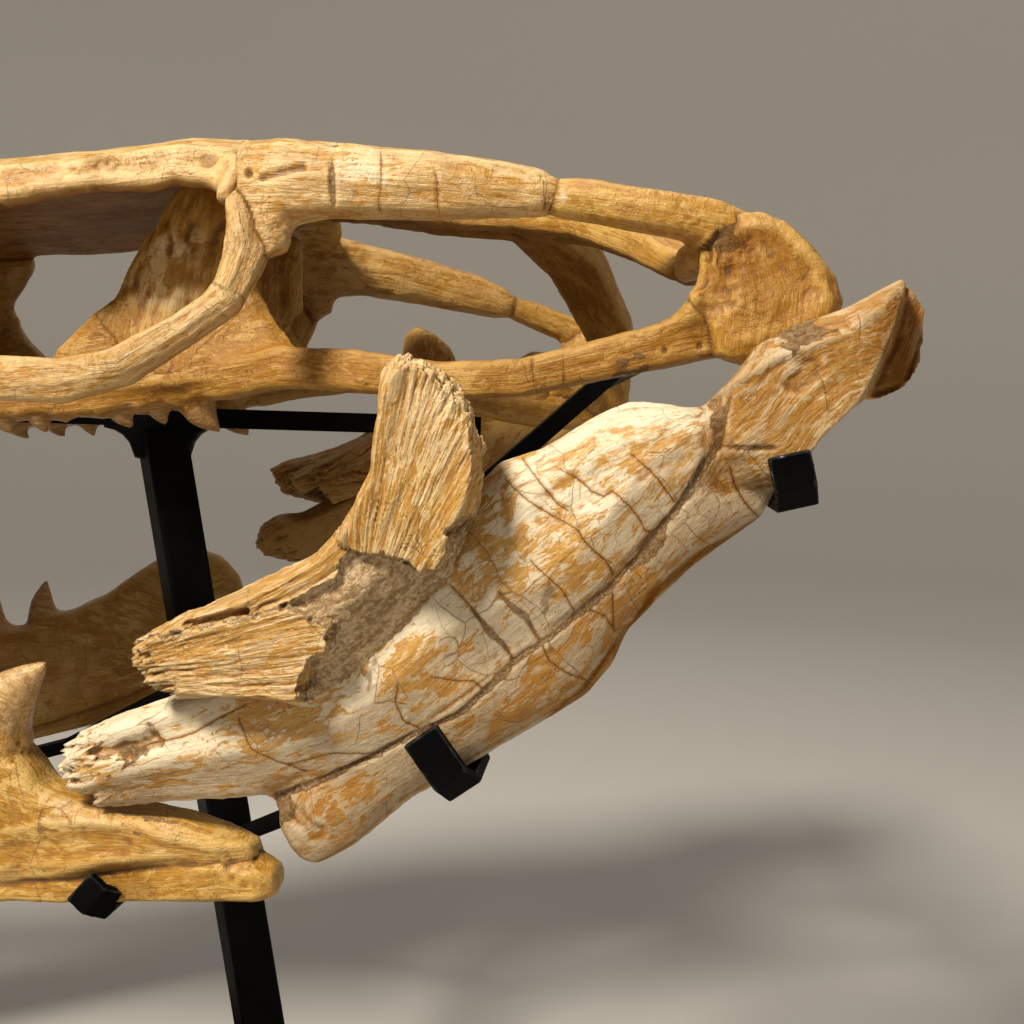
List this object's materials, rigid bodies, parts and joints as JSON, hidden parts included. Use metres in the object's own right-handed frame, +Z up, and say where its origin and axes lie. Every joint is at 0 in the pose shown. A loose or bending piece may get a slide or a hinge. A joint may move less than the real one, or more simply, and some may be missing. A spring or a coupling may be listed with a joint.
{
  "type": "mounted fossil mosasaur skull",
  "caption": "Life-size fossil skull of a large marine lizard, jaws open and lower jaw unhinged, carried by a black steel post, spine and strip clips on a flat base plate.",
  "frame": {"origin": "middle of the underside of the base plate", "axes": "+X towards the back of the skull, +Y towards the animal's right side, +Z up"},
  "size_m": [1.0837, 0.4404, 0.6864],
  "materials": {
    "ochre_bone": "satin, mineralised bone with a thin coat of consolidant",
    "cream_bone": "satin, cracked mineralised bone with matrix in the cracks",
    "black_steel": "satin black paint, worn at the edges"
  },
  "bodies": {
    "root": {"angular_left": "cream_bone", "angular_right": "cream_bone", "articular_left": "cream_bone", "articular_right": "cream_bone", "coronoid_left": "cream_bone", "coronoid_right": "cream_bone", "dentary_left": "ochre_bone", "dentary_right": "ochre_bone", "frontal": "ochre_bone", "jugal_left": "ochre_bone", "jugal_right": "ochre_bone", "maxilla_left": "ochre_bone", "maxilla_right": "ochre_bone", "palatine_left": "ochre_bone", "palatine_right": "ochre_bone", "parietal": "ochre_bone", "postorbitofrontal_left": "ochre_bone", "postorbitofrontal_right": "ochre_bone", "prefrontal_left": "ochre_bone", "prefrontal_right": "ochre_bone", "premaxilla": "ochre_bone", "pterygoid_left": "ochre_bone", "pterygoid_right": "ochre_bone", "quadrate_left": "ochre_bone", "quadrate_right": "ochre_bone", "splenial_left": "ochre_bone", "splenial_right": "ochre_bone", "squamosal_left": "ochre_bone", "squamosal_right": "ochre_bone", "stand_arm_dentary_left": "black_steel", "stand_arm_dentary_right": "black_steel", "stand_arm_jaw_left": "black_steel", "stand_arm_jaw_right": "black_steel", "stand_base": "black_steel", "stand_brace": "black_steel", "stand_clip_dentary_left_front": "black_steel", "stand_clip_dentary_left_rear": "black_steel", "stand_clip_dentary_right_front": "black_steel", "stand_clip_dentary_right_rear": "black_steel", "stand_clip_jaw_left_front": "black_steel", "stand_clip_jaw_left_rear": "black_steel", "stand_clip_jaw_right_front": "black_steel", "stand_clip_jaw_right_rear": "black_steel", "stand_crossbar": "black_steel", "stand_post": "black_steel", "stand_prop_front": "black_steel", "stand_prop_rear": "black_steel", "stand_rail_dentary_left": "black_steel", "stand_rail_dentary_right": "black_steel", "stand_rail_jaw_left": "black_steel", "stand_rail_jaw_right": "black_steel", "stand_spine": "black_steel", "surangular_left": "cream_bone", "surangular_right": "cream_bone", "vomer": "ochre_bone"}
  },
  "joints": []
}
